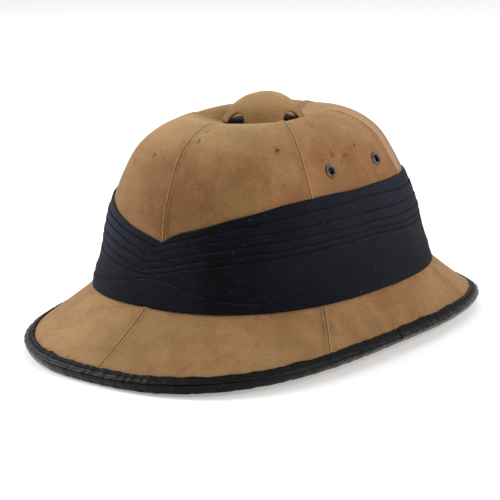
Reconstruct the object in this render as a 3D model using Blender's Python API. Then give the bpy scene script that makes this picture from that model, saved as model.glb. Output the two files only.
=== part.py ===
"""Pith helmet: a stiff pith body under six cloth gores, with a pleated cloth wrap, a bound brim edge,
a domed ventilator cap in a dished crown top, and two metal eyelets on each side.

Metres, +Z up. The helmet stands on its brim edge at Z = 0 and its front faces -Y. The origin is the
centre of the brim's outline at the level that the brim stands on.

Places around the helmet are given by a sweep angle in degrees, 0 at the front and 90 on the +X side.
"""

import math

import bmesh
import bpy
from mathutils import Vector

# Crown, to the outside of the cloth at its foot, from the middle of its top
CROWN_FRONT = 0.1160
CROWN_REAR = 0.1096
CROWN_HALF_WIDTH = 0.0914
CROWN_FOOT_HEIGHT = 0.0429
CROWN_LIP_HEIGHT = 0.1439
PANEL_PUFF = 0.0012

# Brim, from the foot of the crown to the outside of the leather binding
BRIM_FRONT = 0.0589
BRIM_REAR = 0.0455
BRIM_SIDE = 0.0312
BRIM_SQUARENESS = 2.67
BRIM_SIDE_LIFT = 0.0062

# Root of the brim, under the foot of the wrap
BRIM_ROOT_WIDTH = 0.0080
BRIM_ROOT_FALL = 0.0066

# Dished top and the air hole in it
DISH_DEPTH = 0.0062
DISH_FLOOR_SINK = 0.15
AIR_HOLE_RADIUS = 0.016

# Walls and the clearance between pieces
GAP = 0.0003
CLOTH = 0.0010
PITH = 0.0040
PITH_AT_EDGE = 0.0036
SEAM_GAP = 0.0005

# Leather binding
LEATHER = 0.0011
BINDING_FLAP = 0.0066
BINDING_JOIN_ANGLE = 87.0
BINDING_JOIN_GAP = 0.0005

# Cloth wrap
WRAP_SIDE_TOP = 0.0998
WRAP_FRONT_TOP = 0.0747
WRAP_CLOTH = 0.0014
PLEAT_STEP = 0.0008
WRAP_FOOT_THICKNESS = 0.0026
WRAP_FOOT_REACH = 0.90
WRAP_BELLY_LEVEL = 0.22
WRAP_EASE = 1.6

# Ventilator cap
CAP_RADIUS = 0.0278
CAP_HEIGHT = 0.0186
CAP_WALL = 0.0016
CAP_SEAT_MARGIN = 0.0015
CAP_ARCH_HEIGHT = 0.0070
CAP_ARCH_SPAN = 38.0
CAP_LEG_ANGLE = 39.0
CAP_LEGS = 4

# Eyelets
EYELET_ANGLES = (77.5, 109.5)
EYELET_RISE = 0.0133
EYELET_RADIUS = 0.0047
EYELET_BORE = 0.0025
EYELET_TUBE = 0.0005
EYELET_ROLL = 0.0011

# Sweep angles of the gores' seams
SEAM_ANGLES = (0.0, 65.0, 121.5, 180.0, 238.5, 295.0)
STEPS_PER_GORE = 8

# The rest follows: the brim's outline is centred on the origin
BRIM_HALF_LENGTH = (CROWN_FRONT + BRIM_FRONT + CROWN_REAR + BRIM_REAR) / 2
BRIM_HALF_WIDTH = CROWN_HALF_WIDTH + BRIM_SIDE
CROWN_SETBACK = BRIM_HALF_LENGTH - CROWN_REAR - BRIM_REAR

# Crown outline from the inner edge of the dish's rim over its crest and down to the foot of the crown: each row's height is a share of
# the rise from the foot to the lip, and ahead, aside and behind are shares of the reach at the foot
CROWN_ROWS = (
    {"height": 0.953, "ahead": 0.353, "aside": 0.345, "behind": 0.338, "squareness": 2.20, "puff": 0.3},
    {"height": 0.988, "ahead": 0.466, "aside": 0.422, "behind": 0.440, "squareness": 2.70, "puff": 1.0},
    {"height": 0.961, "ahead": 0.576, "aside": 0.517, "behind": 0.544, "squareness": 3.10, "puff": 0.9},
    {"height": 0.913, "ahead": 0.657, "aside": 0.595, "behind": 0.622, "squareness": 3.15, "puff": 0.8},
    {"height": 0.843, "ahead": 0.731, "aside": 0.673, "behind": 0.695, "squareness": 3.15, "puff": 0.7},
    {"height": 0.662, "ahead": 0.822, "aside": 0.786, "behind": 0.791, "squareness": 3.10, "puff": 0.5},
    {"height": 0.483, "ahead": 0.879, "aside": 0.874, "behind": 0.856, "squareness": 3.00, "puff": 0.3},
    {"height": 0.315, "ahead": 0.905, "aside": 0.930, "behind": 0.891, "squareness": 2.90, "puff": 0.0},
    {"height": 0.140, "ahead": 0.938, "aside": 0.952, "behind": 0.928, "squareness": 2.70, "puff": 0.0},
    {"height": 0.000, "ahead": 1.000, "aside": 1.000, "behind": 1.000, "squareness": 2.45, "puff": 0.0},
)

# Dish from the edge of its flat floor out to the lip: each row's reach is a share of the way to the lip,
# and its rise a share of the dish's depth
DISH_ROWS = (
    {"reach": 0.00, "rise": 0.00},
    {"reach": 0.45, "rise": 0.45},
)

# Brim from its root out to its edge: each row's reach and fall are shares of the way to the edge
BRIM_ROWS = (
    {"reach": 0.00, "fall": 0.00},
    {"reach": 0.50, "fall": 0.53},
    {"reach": 1.00, "fall": 1.00},
)

# Top edge of the wrap: the rise is a share of the way from the front's low point to the sides' height
WRAP_TOP_ROWS = (
    {"angle": -90.0, "rise": 1.00},
    {"angle": -56.0, "rise": 0.98},
    {"angle": -30.0, "rise": 0.57},
    {"angle": -12.0, "rise": 0.18},
    {"angle": 0.0, "rise": 0.00},
    {"angle": 12.0, "rise": 0.33},
    {"angle": 30.0, "rise": 0.66},
    {"angle": 56.0, "rise": 0.99},
    {"angle": 90.0, "rise": 1.00},
    {"angle": 270.0, "rise": 1.00},
)

# Folds of the wrap from its top edge down: each row's level is a share of the wrap's height where a
# new layer starts
PLEAT_ROWS = (
    {"level": 1.00},
    {"level": 0.88},
    {"level": 0.77},
    {"level": 0.665},
    {"level": 0.56},
    {"level": 0.47},
)
PLEAT_LEDGE = 0.0006

# Back of the wrap: each step up follows the next of the crown's rows, or this share of what is left
WRAP_BACK_STEP = 0.70


def clear_scene():
    """Empties the file of its objects."""
    for thing in list(bpy.data.objects):
        bpy.data.objects.remove(thing, do_unlink=True)


def blend(low, high, share):
    """The value a share of the way from low to high."""
    return low + (high - low) * share


def smooth_through(knots, place):
    """Value at a place on a smooth curve through (place, value) knots in rising order, without overshoot."""
    if place <= knots[0][0]:
        return knots[0][1]
    if place >= knots[-1][0]:
        return knots[-1][1]
    slopes = []
    steps = [
        (after[1] - before[1]) / (after[0] - before[0])
        for before, after in zip(knots, knots[1:])
    ]
    for index in range(len(knots)):
        if index in (0, len(knots) - 1):
            slopes.append(steps[min(index, len(steps) - 1)])
            continue
        before, after = steps[index - 1], steps[index]
        mean = 0.0 if before * after <= 0 else 2 * before * after / (before + after)
        slopes.append(mean)
    for index in range(len(knots) - 1):
        start, end = knots[index], knots[index + 1]
        if place <= end[0]:
            break
    width = end[0] - start[0]
    t = (place - start[0]) / width
    return (
        (2 * t**3 - 3 * t**2 + 1) * start[1]
        + (t**3 - 2 * t**2 + t) * width * slopes[index]
        + (3 * t**2 - 2 * t**3) * end[1]
        + (t**3 - t**2) * width * slopes[index + 1]
    )


def oval(aside, ahead, behind, squareness, angle, centre_y):
    """Point of a rounded oval at a sweep angle in degrees, as x and y."""
    sine, cosine = math.sin(math.radians(angle)), math.cos(math.radians(angle))
    reach = (abs(sine) ** squareness + abs(cosine) ** squareness) ** (-1 / squareness)
    along = ahead if cosine >= 0 else behind
    return aside * reach * sine, centre_y - along * reach * cosine


def ring(radius, angle):
    """Point of a circle about the crown's middle at a sweep angle, as x and y."""
    return oval(radius, radius, radius, 2.0, angle, CROWN_SETBACK)


def crown_ring(row, angle, grown=0.0):
    """Point of one of the crown's outline rows at a sweep angle, as x and y."""
    return oval(
        CROWN_HALF_WIDTH * row["aside"] + grown,
        CROWN_FRONT * row["ahead"] + grown,
        CROWN_REAR * row["behind"] + grown,
        row["squareness"],
        angle,
        CROWN_SETBACK,
    )


def brim_ring(angle, inset):
    """Point of the brim's outline at a sweep angle, drawn in by an inset, as x and y."""
    length = BRIM_HALF_LENGTH - inset
    return oval(BRIM_HALF_WIDTH - inset, length, length, BRIM_SQUARENESS, angle, 0.0)


def gore_share(angle):
    """How far a sweep angle lies across its gore, from 0 at one seam to 1 at the next."""
    angle %= 360
    bounds = SEAM_ANGLES + (360.0,)
    for start, end in zip(bounds, bounds[1:]):
        if start <= angle <= end:
            return (angle - start) / (end - start)
    return 0.0


def edge_height(angle):
    """Height of the brim edge's underside: low at the front and back, lifted at the sides."""
    return BRIM_SIDE_LIFT * (1 - math.cos(math.radians(2 * angle))) / 2


def edge_thickness():
    """Whole thickness of the bound edge, from the leather above to the leather below."""
    return 2 * LEATHER + 3 * GAP + CLOTH + PITH_AT_EDGE


def body_knots(angle):
    """The cloth's outer surface at a sweep angle, as points from the air hole out to the brim edge."""
    bulge = max(math.sin(math.pi * gore_share(angle)), 0.0) ** 0.8 * PANEL_PUFF
    lip = crown_ring(CROWN_ROWS[0], angle)
    hole = ring(AIR_HOLE_RADIUS, angle)
    seat = ring(CAP_RADIUS + CAP_SEAT_MARGIN, angle)
    floor = CROWN_LIP_HEIGHT - DISH_DEPTH
    rim = blend(CROWN_FOOT_HEIGHT, CROWN_LIP_HEIGHT, CROWN_ROWS[0]["height"])
    points = [Vector((hole[0], hole[1], floor - DISH_DEPTH * DISH_FLOOR_SINK))]
    for row in DISH_ROWS:
        points.append(
            Vector(
                (
                    blend(seat[0], lip[0], row["reach"]),
                    blend(seat[1], lip[1], row["reach"]),
                    blend(floor, rim, row["rise"])
                    + bulge * CROWN_ROWS[0]["puff"] * row["reach"] ** 2,
                )
            )
        )
    for row in CROWN_ROWS:
        puff = bulge * row["puff"]
        x, y = crown_ring(row, angle, puff * (1 - row["height"]))
        z = blend(CROWN_FOOT_HEIGHT, CROWN_LIP_HEIGHT, row["height"])
        points.append(Vector((x, y, z + puff * row["height"])))
    foot = points[-1]
    inset = LEATHER + GAP
    edge_x, edge_y = brim_ring(angle, inset)
    away = Vector((edge_x - foot.x, edge_y - foot.y, 0.0))
    root = foot + away.normalized() * BRIM_ROOT_WIDTH
    root.z -= BRIM_ROOT_FALL
    run = away.length - BRIM_ROOT_WIDTH
    fall = root.z - edge_height(angle)
    last_run = run * (BRIM_ROWS[-1]["reach"] - BRIM_ROWS[-2]["reach"])
    last_fall = fall * (BRIM_ROWS[-1]["fall"] - BRIM_ROWS[-2]["fall"])
    slant = math.hypot(last_run, last_fall)
    under = (edge_thickness() - inset) * last_run / slant + inset * last_fall / slant
    edge_z = edge_height(angle) + under
    for row in BRIM_ROWS:
        points.append(
            Vector(
                (
                    blend(root.x, edge_x, row["reach"]),
                    blend(root.y, edge_y, row["reach"]),
                    blend(root.z, edge_z, row["fall"]),
                )
            )
        )
    return points


CROWN_LIP_ROW = len(DISH_ROWS) + 1
CROWN_FOOT_ROW = CROWN_LIP_ROW + len(CROWN_ROWS) - 1
# The highest of the crown's rows that the back of the wrap follows
WRAP_HIGHEST_ROW = 5


def body_normals(angle, points):
    """Outward normals of the cloth surface at one sweep angle's points."""
    turn = 0.5
    before, after = body_knots(angle - turn), body_knots(angle + turn)
    normals = []
    last = len(points) - 1
    for row in range(len(points)):
        along = points[min(row + 1, last)] - points[max(row - 1, 0)]
        around = after[row] - before[row]
        normals.append(along.cross(around).normalized())
    return normals


def body_surface(angle, depth_of_row):
    """The cloth surface at a sweep angle, sunk below itself by a depth for each row."""
    points = body_knots(angle)
    normals = body_normals(angle, points)
    return [
        point - normal * depth_of_row(row)
        for row, (point, normal) in enumerate(zip(points, normals))
    ]


def pith_thickness(row):
    """The pith thins from the foot of the crown to the brim edge."""
    if row <= CROWN_FOOT_ROW:
        return PITH
    reach = BRIM_ROWS[row - CROWN_FOOT_ROW - 1]["reach"]
    return blend(PITH, PITH_AT_EDGE, reach)


def gore_angles(first_seam, shrink=0.0):
    """Sweep angles across one gore, a little short of its seams."""
    bounds = SEAM_ANGLES + (360.0,)
    start, end = bounds[first_seam] + shrink, bounds[first_seam + 1] - shrink
    return [
        blend(start, end, step / STEPS_PER_GORE) for step in range(STEPS_PER_GORE + 1)
    ]


def round_angles():
    """Sweep angles all the way round, with one on every seam."""
    return [
        angle for seam in range(len(SEAM_ANGLES)) for angle in gore_angles(seam)[:-1]
    ]


def material(name, colour, roughness, metallic=0.0):
    """A plain finish for one kind of piece."""
    made = bpy.data.materials.get(name) or bpy.data.materials.new(name)
    made.use_nodes = True
    shader = made.node_tree.nodes["Principled BSDF"]
    shader.inputs["Base Color"].default_value = (*colour, 1.0)
    shader.inputs["Roughness"].default_value = roughness
    shader.inputs["Metallic"].default_value = metallic
    return made


def end_in_strips(mesh, ring_points):
    """Closes the end of a layer, whose outline runs along its outer face and back along its inner one."""
    count = len(ring_points)
    for index in range(count // 2 - 1):
        across = count - 1 - index
        mesh.faces.new((ring_points[index], ring_points[index + 1], ring_points[across]))
        mesh.faces.new((ring_points[index + 1], ring_points[across - 1], ring_points[across]))


def swept_solid(name, sections, finish, closed, parent, sharp_angle=40.0, layer=False):
    """One solid from outline sections in order, joined end to end or capped at both ends.

    Each patch is split along the same diagonal on the outer and on the inner half of the outline, so
    that layers that follow one another stay parallel.
    """
    mesh = bmesh.new()
    rings = [[mesh.verts.new(point) for point in section] for section in sections]
    pairs = list(zip(rings, rings[1:]))
    if closed:
        pairs.append((rings[-1], rings[0]))
    elif layer:
        end_in_strips(mesh, rings[0])
        end_in_strips(mesh, rings[-1])
    else:
        mesh.faces.new(rings[0])
        mesh.faces.new(list(reversed(rings[-1])))
    count = len(rings[0])
    for one, two in pairs:
        for index in range(count):
            after = (index + 1) % count
            if index < count / 2:
                mesh.faces.new((one[index], two[index], two[after]))
                mesh.faces.new((one[index], two[after], one[after]))
            else:
                mesh.faces.new((one[index], two[index], one[after]))
                mesh.faces.new((two[index], two[after], one[after]))
    bmesh.ops.recalc_face_normals(mesh, faces=mesh.faces)
    data = bpy.data.meshes.new(name)
    mesh.to_mesh(data)
    mesh.free()
    data.shade_smooth()
    data.set_sharp_from_angle(angle=math.radians(sharp_angle))
    made = bpy.data.objects.new(name, data)
    data.materials.append(finish)
    bpy.context.collection.objects.link(made)
    made.parent = parent
    return made


def turned_solid(name, profile, steps, finish, parent, place, axis):
    """A turned ring from a closed (radius, along) profile, set at a place with its axis along a direction."""
    sections = [
        [
            Vector(
                (
                    radius * math.cos(2 * math.pi * step / steps),
                    radius * math.sin(2 * math.pi * step / steps),
                    along,
                )
            )
            for radius, along in profile
        ]
        for step in range(steps)
    ]
    made = swept_solid(name, sections, finish, True, parent)
    made.rotation_euler = axis.to_track_quat("Z", "Y").to_euler()
    made.location = place
    return made


def surface_place(angle, height):
    """Point and outward normal of the crown's cloth at a sweep angle and a height."""
    points = body_knots(angle)
    normals = body_normals(angle, points)
    for row in range(CROWN_LIP_ROW, CROWN_FOOT_ROW):
        upper, lower = points[row], points[row + 1]
        if lower.z <= height <= upper.z:
            share = (upper.z - height) / (upper.z - lower.z)
            normal = normals[row].lerp(normals[row + 1], share).normalized()
            return upper.lerp(lower, share), normal
    raise ValueError("the height is not on the crown")


def eyelet_seats():
    """Name, place and outward direction of each eyelet, on both sides of the crown."""
    seats = []
    for side, sign in (("left", 1), ("right", -1)):
        for place_name, angle in zip(("front", "rear"), EYELET_ANGLES):
            place, normal = surface_place(sign * angle, wrap_top(angle) + EYELET_RISE)
            seats.append((f"eyelet_{side}_{place_name}", place, normal))
    return seats


def cutter(name, place, axis):
    """A rod that bores an eyelet's hole through the cloth and the pith."""
    mesh = bmesh.new()
    bmesh.ops.create_cone(
        mesh,
        cap_ends=True,
        segments=16,
        radius1=EYELET_BORE + EYELET_TUBE + GAP,
        radius2=EYELET_BORE + EYELET_TUBE + GAP,
        depth=6 * (CLOTH + PITH),
    )
    data = bpy.data.meshes.new(name)
    mesh.to_mesh(data)
    mesh.free()
    made = bpy.data.objects.new(name, data)
    bpy.context.collection.objects.link(made)
    made.rotation_euler = axis.to_track_quat("Z", "Y").to_euler()
    made.location = place
    made.hide_render = True
    made.display_type = "WIRE"
    return made


def bore(solid, rod):
    """Cuts a rod's hole through a solid."""
    cut = solid.modifiers.new(f"bore_{rod.name}", "BOOLEAN")
    cut.operation = "DIFFERENCE"
    cut.solver = "EXACT"
    cut.object = rod


def build_body(finish, parent):
    """The pith body: crown and brim in one, open at the air hole and underneath."""
    sections = []
    for angle in round_angles():
        outer = body_surface(angle, lambda row: CLOTH + GAP)
        inner = body_surface(angle, lambda row: CLOTH + GAP + pith_thickness(row))
        sections.append(outer + list(reversed(inner)))
    return swept_solid("pith_body", sections, finish, True, parent)


def build_gores(finish, parent):
    """Six cloth gores that run from the air hole to the brim edge, a hair apart at their seams."""
    gores = []
    shrink = math.degrees(SEAM_GAP / 2 / CROWN_FRONT)
    for seam in range(len(SEAM_ANGLES)):
        sections = []
        for angle in gore_angles(seam, shrink):
            outer = body_surface(angle, lambda row: 0.0)
            inner = body_surface(angle, lambda row: CLOTH)
            sections.append(outer + list(reversed(inner)))
        gores.append(
            swept_solid(f"cover_gore_{seam + 1}", sections, finish, False, parent, layer=True)
        )
    return gores


def build_eyelets(finish, parent, body, gores):
    """Rolled metal eyelets through the cloth and the pith, and the holes that they sit in."""
    side_gores = {"left": gores[1], "right": gores[4]}
    reach = CLOTH + PITH + GAP
    tube = EYELET_BORE + EYELET_TUBE
    profile = (
        (EYELET_BORE, EYELET_ROLL * 0.55),
        (blend(EYELET_BORE, EYELET_RADIUS, 0.25), EYELET_ROLL),
        (blend(EYELET_BORE, EYELET_RADIUS, 0.70), EYELET_ROLL),
        (EYELET_RADIUS, GAP + EYELET_ROLL * 0.25),
        (EYELET_RADIUS - EYELET_TUBE, GAP),
        (tube, GAP),
        (tube, -reach - GAP),
        (EYELET_RADIUS - EYELET_TUBE, -reach - GAP),
        (EYELET_RADIUS - EYELET_TUBE, -reach - GAP - EYELET_TUBE),
        (EYELET_BORE, -reach - GAP - EYELET_TUBE),
    )
    for name, place, normal in eyelet_seats():
        turned_solid(name, profile, 10, finish, parent, place, normal)
        rod = cutter(f"{name}_rod", place, normal)
        bore(body, rod)
        bore(side_gores[name.split("_")[1]], rod)


def wrap_top(angle):
    """Height of the wrap's top edge, which dips to a point at the front."""
    turned = (angle + 90) % 360 - 90
    knots = [(row["angle"], row["rise"]) for row in WRAP_TOP_ROWS]
    middle = [place for place, _ in knots].index(0.0)
    side = knots[: middle + 1] if turned < 0 else knots[middle:]
    return blend(WRAP_FRONT_TOP, WRAP_SIDE_TOP, smooth_through(side, turned))


def crown_at(angle, height):
    """Point of the crown's cloth at a height, or of the brim where the height is below its foot."""
    points = body_knots(angle)
    for upper, lower in zip(points[CROWN_LIP_ROW:], points[CROWN_LIP_ROW + 1 :]):
        if lower.z <= height <= upper.z:
            return upper.lerp(lower, (upper.z - height) / (upper.z - lower.z))
    return points[-1]


def outward(angle):
    """Level direction away from the crown at a sweep angle."""
    before = crown_ring(CROWN_ROWS[-1], angle - 0.5)
    after = crown_ring(CROWN_ROWS[-1], angle + 0.5)
    return Vector((after[1] - before[1], before[0] - after[0], 0.0)).normalized()


def wrap_back_levels(foot, top):
    """Heights of the points up the wrap's back: on the crown's rows where they lie below the top edge."""
    levels = []
    below = foot
    for row in reversed(CROWN_ROWS[WRAP_HIGHEST_ROW:-1]):
        of_row = blend(CROWN_FOOT_HEIGHT, CROWN_LIP_HEIGHT, row["height"])
        below = min(of_row, blend(below, top, WRAP_BACK_STEP))
        levels.append(below)
    return levels + [top]


def wrap_section(angle):
    """Outline of the pleated wrap at a sweep angle: its stepped face, its foot, then its back."""
    points = body_knots(angle)
    normals = body_normals(angle, points)
    top, foot = wrap_top(angle), CROWN_FOOT_HEIGHT
    away = outward(angle)
    face = []
    layers = len(PLEAT_ROWS)
    for layer, row in enumerate(PLEAT_ROWS):
        level = blend(foot, top, row["level"])
        stand = GAP + WRAP_CLOTH + PLEAT_STEP * layer
        face.append(crown_at(angle, level) + away * stand)
        if layer + 1 < layers:
            ledge = blend(foot, top, PLEAT_ROWS[layer + 1]["level"]) + PLEAT_LEDGE
            face.append(crown_at(angle, ledge) + away * stand)
    full = GAP + WRAP_CLOTH + PLEAT_STEP * layers
    face.append(crown_at(angle, blend(foot, top, WRAP_BELLY_LEVEL)) + away * full)
    on_brim = points[CROWN_FOOT_ROW].lerp(points[CROWN_FOOT_ROW + 1], WRAP_FOOT_REACH)
    lift = normals[CROWN_FOOT_ROW + 1]
    face.append(on_brim + lift * WRAP_FOOT_THICKNESS)
    back = [
        on_brim + lift * GAP * WRAP_EASE,
        points[CROWN_FOOT_ROW] + (away + Vector((0, 0, 1))) * GAP * WRAP_EASE,
    ]
    for level in wrap_back_levels(foot, top):
        back.append(crown_at(angle, level) + away * GAP * WRAP_EASE)
    return face + back


def build_wrap(finish, parent):
    """The cloth wound round the crown: folded layers that overlap upwards, over a plain lower turn."""
    sections = [wrap_section(angle) for angle in round_angles()]
    return swept_solid("pleated_wrap", sections, finish, True, parent, 25.0)


def binding_section(angle):
    """Outline of the leather at a sweep angle: folded over the brim's edge, with a flap on each face."""
    points = body_knots(angle)
    normal = body_normals(angle, points)[-1]
    edge, inner = points[-1], points[-2]
    inwards = (inner - edge).normalized()
    normal = (normal - inwards * normal.dot(inwards)).normalized()
    above = edge + normal * GAP
    below = edge - normal * (CLOTH + GAP + PITH_AT_EDGE + GAP)
    thick = above - below
    outer = edge - inwards * (GAP + LEATHER)
    return [
        above + inwards * BINDING_FLAP,
        above + inwards * BINDING_FLAP + normal * LEATHER * 0.6,
        above + inwards * BINDING_FLAP * 0.8 + normal * LEATHER,
        above + normal * LEATHER,
        above - inwards * (GAP + LEATHER) + normal * LEATHER * 0.1,
        outer - normal * thick.length * 0.5,
        below - inwards * (GAP + LEATHER) - normal * LEATHER * 0.1,
        below - normal * LEATHER,
        below + inwards * BINDING_FLAP - normal * LEATHER,
        below + inwards * BINDING_FLAP,
        below - inwards * GAP,
        above - inwards * GAP,
    ]


def binding_on_chord(angle):
    """The leather's outline at any angle, on the straight run between the two nearest regular sections."""
    regular = round_angles() + [360.0]
    turned = angle % 360
    for start, end in zip(regular, regular[1:]):
        if start <= turned <= end:
            break
    share = (turned - start) / (end - start)
    return [
        one.lerp(two, share)
        for one, two in zip(binding_section(start), binding_section(end))
    ]


def build_binding(finish, parent):
    """The leather strip along the brim's edge, whose two ends meet at a join on one side."""
    shrink = math.degrees(BINDING_JOIN_GAP / 2 / BRIM_HALF_WIDTH)
    start, end = BINDING_JOIN_ANGLE + shrink, BINDING_JOIN_ANGLE - shrink
    turned = [angle for angle in round_angles() if angle > start]
    turned += [angle for angle in round_angles() if angle < end]
    sections = [binding_on_chord(start)]
    sections += [binding_section(angle) for angle in turned]
    sections.append(binding_on_chord(end))
    return swept_solid("edge_binding", sections, finish, False, parent)


def cap_edge(angle):
    """Height of the cap's lower edge above its feet: raised in an arch between each two legs."""
    spacing = 360 / CAP_LEGS
    away = abs((angle - CAP_LEG_ANGLE + spacing / 2) % spacing - spacing / 2)
    from_arch = spacing / 2 - away
    half = CAP_ARCH_SPAN / 2
    if from_arch >= half:
        return 0.0
    return CAP_ARCH_HEIGHT * math.sqrt(1 - (from_arch / half) ** 2)


def dome_point(radius, height, angle, rise, base):
    """Point of a dome of a base radius and a height, where it has risen by so much from its base."""
    ball = (radius**2 + height**2) / (2 * height)
    level = rise - (height - ball)
    reach = math.sqrt(max(ball**2 - level**2, 0.0))
    x, y = ring(reach, angle)
    return Vector((x, y, base + rise))


def build_cap(finish, parent):
    """The ventilator cap: a thin dome on four legs, with an arch between each two."""
    base = CROWN_LIP_HEIGHT - DISH_DEPTH + 2 * GAP
    angles = []
    for leg in range(CAP_LEGS):
        start = CAP_LEG_ANGLE + 360 / CAP_LEGS * leg
        half = CAP_ARCH_SPAN / 2
        middle = start + 180 / CAP_LEGS
        spread = (-1.0, -0.94, -0.75, -0.4, 0.0, 0.4, 0.75, 0.94, 1.0)
        angles += [start] + [middle + half * share for share in spread]
    angles.sort()
    rises = (0.0, 0.25, 0.5, 0.75, 0.93)
    mesh = bmesh.new()
    outer, inner = [], []
    for angle in angles:
        low = cap_edge(angle)
        outer.append(
            [
                mesh.verts.new(
                    dome_point(
                        CAP_RADIUS,
                        CAP_HEIGHT,
                        angle,
                        blend(low, CAP_HEIGHT, share),
                        base,
                    )
                )
                for share in rises
            ]
        )
        inner_height = CAP_HEIGHT - CAP_WALL
        inner.append(
            [
                mesh.verts.new(
                    dome_point(
                        CAP_RADIUS - CAP_WALL,
                        inner_height,
                        angle,
                        blend(low, inner_height, share),
                        base,
                    )
                )
                for share in rises
            ]
        )
    top = mesh.verts.new((0.0, CROWN_SETBACK, base + CAP_HEIGHT))
    ceiling = mesh.verts.new((0.0, CROWN_SETBACK, base + CAP_HEIGHT - CAP_WALL))
    for index in range(len(angles)):
        after = (index + 1) % len(angles)
        for row in range(len(rises) - 1):
            mesh.faces.new(
                (
                    outer[index][row],
                    outer[after][row],
                    outer[after][row + 1],
                    outer[index][row + 1],
                )
            )
            mesh.faces.new(
                (
                    inner[index][row],
                    inner[index][row + 1],
                    inner[after][row + 1],
                    inner[after][row],
                )
            )
        mesh.faces.new((outer[index][-1], outer[after][-1], top))
        mesh.faces.new((inner[after][-1], inner[index][-1], ceiling))
        mesh.faces.new(
            (outer[after][0], outer[index][0], inner[index][0], inner[after][0])
        )
    bmesh.ops.recalc_face_normals(mesh, faces=mesh.faces)
    data = bpy.data.meshes.new("ventilator_cap")
    mesh.to_mesh(data)
    mesh.free()
    data.shade_smooth()
    data.set_sharp_from_angle(angle=math.radians(40))
    data.materials.append(finish)
    made = bpy.data.objects.new("ventilator_cap", data)
    bpy.context.collection.objects.link(made)
    made.parent = parent
    return made


def main():
    """Builds the whole helmet."""
    clear_scene()
    helmet = bpy.data.objects.new("helmet", None)
    bpy.context.collection.objects.link(helmet)
    pith = material("pith_lining", (0.46, 0.33, 0.18), 0.9)
    cloth = material("khaki_cloth", (0.40, 0.26, 0.13), 0.85)
    navy = material("navy_cloth", (0.016, 0.018, 0.028), 0.8)
    leather = material("black_leather", (0.018, 0.018, 0.018), 0.4)
    metal = material("dull_metal", (0.18, 0.15, 0.12), 0.45, 0.9)
    body = build_body(pith, helmet)
    gores = build_gores(cloth, helmet)
    build_eyelets(metal, helmet, body, gores)
    build_wrap(navy, helmet)
    build_binding(leather, helmet)
    build_cap(cloth, helmet)


main()
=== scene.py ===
"""Dressed pith helmet: cloth gores with stitched seams, a pleated wrap, a leather-bound edge, a cloth
ventilator cap and metal eyelets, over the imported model's frame.

Metres, +Z up, front towards -Y. Places round the helmet are sweep angles in degrees, 0 at the front and
90 on the +X side. Places along the cloth, from the air hole out to the brim edge, are lengths in metres.
"""

import math

import bpy
import numpy as np
from mathutils import Matrix, Vector, noise


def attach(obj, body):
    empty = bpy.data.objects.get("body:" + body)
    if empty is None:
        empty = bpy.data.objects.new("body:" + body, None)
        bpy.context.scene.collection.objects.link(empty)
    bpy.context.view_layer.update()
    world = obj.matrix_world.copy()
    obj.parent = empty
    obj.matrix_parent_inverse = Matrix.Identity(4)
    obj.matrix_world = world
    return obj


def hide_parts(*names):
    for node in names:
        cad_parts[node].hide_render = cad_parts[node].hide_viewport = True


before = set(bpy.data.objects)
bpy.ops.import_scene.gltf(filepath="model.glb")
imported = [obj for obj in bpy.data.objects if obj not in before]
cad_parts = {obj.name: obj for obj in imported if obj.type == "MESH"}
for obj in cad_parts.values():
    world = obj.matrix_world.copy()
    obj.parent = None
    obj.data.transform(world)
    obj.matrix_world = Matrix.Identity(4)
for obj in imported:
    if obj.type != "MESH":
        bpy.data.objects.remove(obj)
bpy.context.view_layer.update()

MM = 0.001
TAU = 2 * math.pi

# Sizes shared with the solids
CROWN_FRONT = 0.1160
CROWN_REAR = 0.1096
CROWN_HALF_WIDTH = 0.0914
CROWN_FOOT = 0.0429
CROWN_LIP = 0.1439
CROWN_Y = 0.0099
PANEL_PUFF = 0.0012
BRIM_HALF_LENGTH = 0.1650
BRIM_HALF_WIDTH = 0.1226
BRIM_SQUARENESS = 2.67
BRIM_SIDE_LIFT = 0.0062
BRIM_ROOT_WIDTH = 0.0080
BRIM_ROOT_FALL = 0.0066
DISH_DEPTH = 0.0062
DISH_FLOOR_SINK = 0.15
AIR_HOLE_RADIUS = 0.016
CAP_RADIUS = 0.0278
CAP_SEAT_MARGIN = 0.0015
CAP_LEAN = 0.0015
CLOTH = 0.0010
PITH = 0.0040
PITH_AT_EDGE = 0.0036
GAP = 0.0003
LEATHER = 0.0011
BINDING_FLAP = 0.0066
BINDING_JOIN_ANGLE = 87.0
BINDING_STITCH_PITCH = 0.0019
SEAM_ANGLES = (0.0, 65.0, 121.5, 180.0, 238.5, 295.0)

# Seams: the gore on the "over" side has the folded edge, and the stitches run through it, in mm from it
SEAM_OVER = {0.0: 1, 65.0: -1, 121.5: -1, 180.0: 1, 238.5: 1, 295.0: 1}
STITCH_INSET = 1.9
STITCH_PITCH = 0.0017
TWILL_PITCH = 0.00138
NAVY_PITCH = 0.0008
STAIN_DRIFT = 0.0075
# The seam beside which a painted rim light and a painted shadow line lie
RIM_LIGHT_SEAM = 121.5

# Colours of the cloth, as screen values
KHAKI_LIGHT = (174, 138, 94)
KHAKI_BROWN = (134, 92, 57)
NAVY_DARK = (9, 10, 14)
NAVY_LIGHT = (17, 18, 28)
NAVY_DUSTY = (54, 57, 72)

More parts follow.
